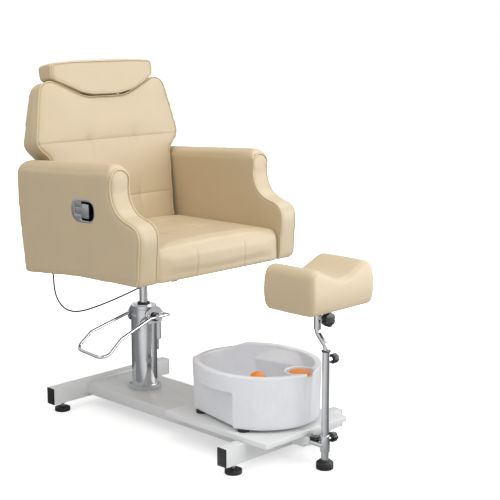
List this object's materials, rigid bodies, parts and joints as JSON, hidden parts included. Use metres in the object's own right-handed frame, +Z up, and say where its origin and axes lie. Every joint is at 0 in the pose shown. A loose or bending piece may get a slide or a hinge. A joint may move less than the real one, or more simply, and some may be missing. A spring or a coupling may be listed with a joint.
{
  "type": "pedicure spa chair",
  "caption": "Padded reclining salon chair on a pump column, with a foot basin on its tray base and a height-adjustable leg rest on a sliding post.",
  "frame": {"origin": "floor level, under the middle of the whole part's footprint", "axes": "+Z up; -Y the way the sitter faces, towards the leg rest; +X towards the sitter's left arm"},
  "size_m": [0.6521, 1.0879, 1.1243],
  "materials": {
    "white_coat": "gloss white powder coat",
    "grey_coat": "satin light grey paint",
    "chrome_plate": "polished chrome plate",
    "zinc_steel": "zinc plated steel",
    "satin_nickel": "satin nickel plate",
    "dark_steel": "satin black paint",
    "black_rubber": "matte black rubber",
    "black_plastic": "matte black plastic",
    "upholstery": "beige coated fabric, soft grain, satin",
    "plywood": "raw birch plywood",
    "white_shell": "gloss white acrylic shell",
    "orange_plastic": "gloss orange plastic",
    "cable_jacket": "black cable jacket"
  },
  "bodies": {
    "base": {"rear_cross_tube": "white_coat", "front_cross_tube": "white_coat", "tube_end_caps": "black_plastic", "foot_pads": "black_rubber", "foot_studs": "zinc_steel", "centre_channel": "white_coat", "tray": "white_coat", "pump_flange": "grey_coat", "pump_bolts": "zinc_steel", "pump_casing": "chrome_plate", "ram_barrel": "zinc_steel", "pump_gland": "chrome_plate", "rod_seal": "black_rubber", "lever_ears": "chrome_plate", "plunger_housing": "chrome_plate", "bar_receiver": "white_coat"},
    "foot_lever": {"pump_lever": "chrome_plate", "lever_hubs": "black_plastic"},
    "plunger": {"pump_plunger": "zinc_steel"},
    "piston": {"piston_rod": "chrome_plate"},
    "chair": {"seat_socket": "dark_steel", "seat_plate": "dark_steel", "seat_plate_bolts": "zinc_steel", "seat_board": "plywood", "seat_cushion": "upholstery", "right_arm_cushion": "upholstery", "left_arm_cushion": "upholstery", "arm_frames": "dark_steel", "handle_bezel": "satin_nickel", "handle_cup": "black_plastic", "recline_cable": "cable_jacket", "cable_glands": "zinc_steel", "recline_lock_housing": "dark_steel", "seat_hinge_plates": "dark_steel", "hinge_pins": "zinc_steel"},
    "paddle": {"recline_paddle": "satin_nickel"},
    "lock_rod": {"recline_lock_rod": "zinc_steel"},
    "back": {"back_board": "plywood", "back_hinge_plates": "dark_steel", "back_cushion": "upholstery", "headrest_guides": "black_plastic"},
    "headrest": {"headrest_posts": "chrome_plate", "headrest_cushion": "upholstery"},
    "leg_base": {"leg_slide_bar": "chrome_plate", "post_clamp": "chrome_plate", "leg_post": "chrome_plate", "post_foot_pad": "black_rubber"},
    "bar_lever": {"bar_lock_lever": "black_plastic"},
    "clamp_screw": {"clamp_knob": "black_plastic"},
    "height_screw": {"height_knob": "black_plastic"},
    "leg_turn": {"post_bush": "black_plastic"},
    "leg_tube": {"leg_bent_tube": "chrome_plate"},
    "leg_pad": {"legrest_sleeve": "chrome_plate", "legrest_board": "plywood", "legrest_cushion": "upholstery"},
    "swivel_screw": {"swivel_knob": "black_plastic"},
    "basin": {"basin_tub": "white_shell", "basin_feet": "black_rubber"},
    "dial": {"basin_dial": "orange_plastic"},
    "dome": {"basin_dome": "orange_plastic"}
  },
  "joints": [
    {"name": "lever_pump", "type": "hinge", "parent": "base", "child": "foot_lever", "pos_m": [0.006, 0.2911, 0.316], "axis": [0, 1, 0], "range_deg": [-20, 4], "stiffness_Nm_per_rad": 60, "springref_deg": 0.57},
    {"name": "plunger_stroke", "type": "slide", "parent": "base", "child": "plunger", "axis": [0, 0, 1], "range_m": [-0.004, 0.018]},
    {"name": "seat_lift", "type": "slide", "parent": "base", "child": "piston", "axis": [0, 0, 1], "range_m": [-0.08, 0.05]},
    {"name": "seat_swivel", "type": "hinge", "parent": "piston", "child": "chair", "pos_m": [0, 0.2911, 0.46], "axis": [0, 0, 1], "continuous": true},
    {"name": "recline_pull", "type": "hinge", "parent": "chair", "child": "paddle", "pos_m": [-0.3238, 0.2035, 0.705], "axis": [0, 0, -1], "range_deg": [0, 35], "stiffness_Nm_per_rad": 0.3},
    {"name": "back_recline", "type": "hinge", "parent": "chair", "child": "back", "pos_m": [0, 0.4065, 0.555], "axis": [-1, 0, 0], "range_deg": [0, 45]},
    {"name": "lock_rod_slide", "type": "slide", "parent": "chair", "child": "lock_rod", "axis": [0, -1, 0], "range_m": [0, 0.053]},
    {"name": "headrest_height", "type": "slide", "parent": "back", "child": "headrest", "axis": [0, 0.165, 0.9863], "range_m": [0, 0.05]},
    {"name": "leg_bar_slide", "type": "slide", "parent": "base", "child": "leg_base", "axis": [0, 1, 0], "range_m": [-0.1, 0.005]},
    {"name": "bar_lever_flip", "type": "hinge", "parent": "base", "child": "bar_lever", "pos_m": [0.005, -0.4335, 0.0802], "axis": [-1, 0, 0], "range_deg": [0, 60]},
    {"name": "clamp_knob_turn", "type": "hinge", "parent": "leg_base", "child": "clamp_screw", "pos_m": [0.005, -0.483, 0.085], "axis": [1, 0, 0], "range_deg": [0, 360]},
    {"name": "height_knob_turn", "type": "hinge", "parent": "leg_base", "child": "height_screw", "pos_m": [0.005, -0.483, 0.317], "axis": [1, 0, 0], "range_deg": [0, 360]},
    {"name": "leg_swivel", "type": "hinge", "parent": "leg_base", "child": "leg_turn", "pos_m": [0.005, -0.483, 0.343], "axis": [0, 0, 1], "range_deg": [-90, 90]},
    {"name": "leg_height", "type": "slide", "parent": "leg_turn", "child": "leg_tube", "axis": [0, 0, 1], "range_m": [0, 0.1]},
    {"name": "leg_pad_swivel", "type": "hinge", "parent": "leg_tube", "child": "leg_pad", "pos_m": [0.005, -0.4505, 0.437], "axis": [0, 0, 1], "range_deg": [-90, 90]},
    {"name": "swivel_knob_turn", "type": "hinge", "parent": "leg_pad", "child": "swivel_screw", "pos_m": [0.005, -0.4505, 0.437], "axis": [0, -1, 0], "range_deg": [0, 360]},
    {"name": "basin_lift", "type": "slide", "parent": "base", "child": "basin", "axis": [0, 0, 1], "range_m": [0, 0.09]},
    {"name": "dial_turn", "type": "hinge", "parent": "basin", "child": "dial", "pos_m": [0.02, -0.3713, 0.25], "axis": [0, 0, 1], "range_deg": [0, 270]},
    {"name": "dome_lift", "type": "slide", "parent": "basin", "child": "dome", "axis": [0, 0, 1], "range_m": [0, 0.03]}
  ],
  "couplings": [
    {"joint": "plunger_stroke", "follows": "lever_pump", "m_per_rad": -0.047},
    {"joint": "lock_rod_slide", "follows": "back_recline", "m_per_rad": 0.065}
  ]
}
